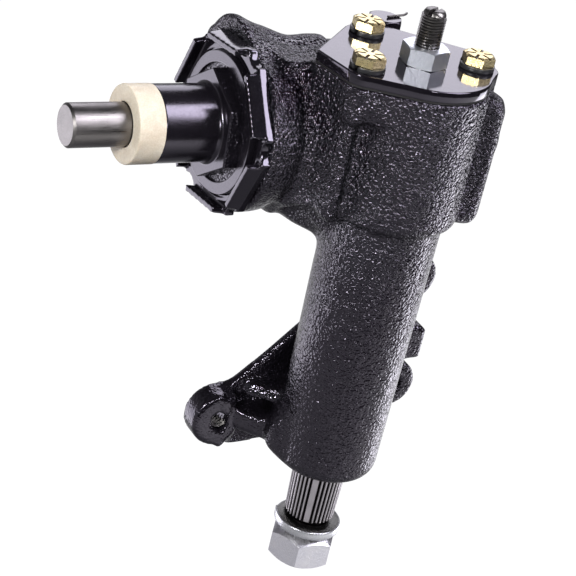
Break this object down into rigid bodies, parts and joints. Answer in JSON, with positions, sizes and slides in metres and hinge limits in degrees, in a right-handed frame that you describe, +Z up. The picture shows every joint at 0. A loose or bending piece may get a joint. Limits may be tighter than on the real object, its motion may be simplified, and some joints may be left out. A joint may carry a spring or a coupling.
{
  "type": "steering gearbox",
  "caption": "Manual recirculating-ball steering gearbox with a cast housing, worm shaft, ball nut, sector shaft, bearing adjuster, lash adjuster and tapped mounting ears.",
  "frame": {"origin": "on the sector shaft's axis at the lower end of the housing's tube, where the pitman spline starts", "axes": "+Z up the sector shaft towards the cover, X along the worm with the steering shaft towards -X, +Y from the sector shaft to the worm and the mounting face"},
  "size_m": [0.202, 0.1141, 0.2847],
  "materials": {
    "cast_black": "gloss black paint over rough sand-cast iron",
    "smooth_black": "gloss black paint over machined steel",
    "gasket": "painted-over fibre gasket",
    "yellow_zinc": "yellow chromate zinc plate on steel",
    "bright_zinc": "bright zinc plate on steel",
    "black_oxide": "black oxide spring steel",
    "dark_steel": "oiled dark thread",
    "raw_steel": "machined bare steel",
    "bronze": "plain bearing bronze",
    "cream_nylon": "moulded cream nylon",
    "seal_rubber": "oil seal rubber"
  },
  "bodies": {
    "casing": {"housing": "cast_black", "sector_cover": "smooth_black", "cover_gasket": "gasket", "cover_bolts": "yellow_zinc", "cover_lock_washers": "black_oxide", "filler_plug": "smooth_black", "adjusting_screw": "dark_steel", "adjusting_screw_nut": "bright_zinc", "adjusting_screw_shim": "raw_steel", "cover_bush": "bronze", "worm_bearing_adjuster": "smooth_black", "adjuster_lock_nut": "smooth_black", "shaft_bush": "cream_nylon", "worm_shaft_seal": "seal_rubber", "upper_bearing_cup": "raw_steel", "upper_bearing_balls": "raw_steel", "upper_bearing_cage": "bronze", "lower_bearing_cup": "raw_steel", "lower_bearing_balls": "raw_steel", "lower_bearing_cage": "bronze", "upper_sector_bush": "bronze", "lower_sector_bush": "bronze", "sector_seal": "seal_rubber"},
    "steering": {"worm_shaft": "raw_steel"},
    "nut": {"ball_nut": "raw_steel", "nut_balls": "raw_steel", "return_guides": "raw_steel", "guide_clamp": "bright_zinc", "clamp_screws": "bright_zinc"},
    "sector": {"sector_shaft": "raw_steel", "pitman_lock_washer": "bright_zinc", "pitman_nut": "bright_zinc"}
  },
  "joints": [
    {"name": "sector_swing", "type": "hinge", "parent": "casing", "child": "sector", "pos_m": [0, 0, 0], "axis": [0, 0, 1], "range_deg": [-36, 36]},
    {"name": "nut_slide", "type": "slide", "parent": "casing", "child": "nut", "axis": [1, 0, 0], "range_m": [-0.0133, 0.0133]},
    {"name": "steering_turn", "type": "hinge", "parent": "casing", "child": "steering", "pos_m": [0, 0.042, 0.1565], "axis": [1, 0, 0], "range_deg": [-577, 577]}
  ],
  "couplings": [
    {"joint": "nut_slide", "follows": "sector_swing", "m_per_rad": -0.021},
    {"joint": "steering_turn", "follows": "sector_swing", "ratio": 16}
  ]
}
